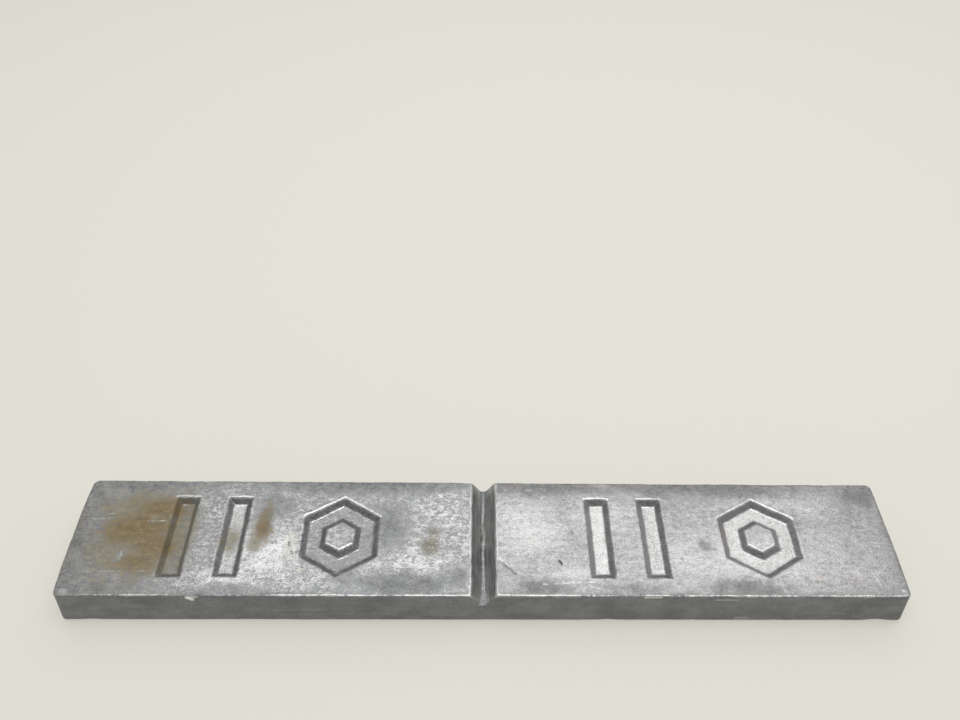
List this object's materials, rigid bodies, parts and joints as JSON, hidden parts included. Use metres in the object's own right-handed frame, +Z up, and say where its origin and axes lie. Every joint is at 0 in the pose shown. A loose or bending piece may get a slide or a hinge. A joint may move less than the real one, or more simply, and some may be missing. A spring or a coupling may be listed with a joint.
{
  "type": "metal ingot",
  "caption": "Long flat cast lead ingot with sloping sides, a V break notch across the middle of its top face and plain sunk geometric marks on either side of it.",
  "frame": {"origin": "centre of the flat underside (the pour face), on the surface it lies on", "axes": "+X along the ingot's length, +Y across it to the back, +Z up out of the marked face"},
  "size_m": [0.4064, 0.0672, 0.0216],
  "materials": {
    "cast_lead": "satin"
  },
  "bodies": {
    "root": {"ingot": "cast_lead"}
  },
  "joints": []
}
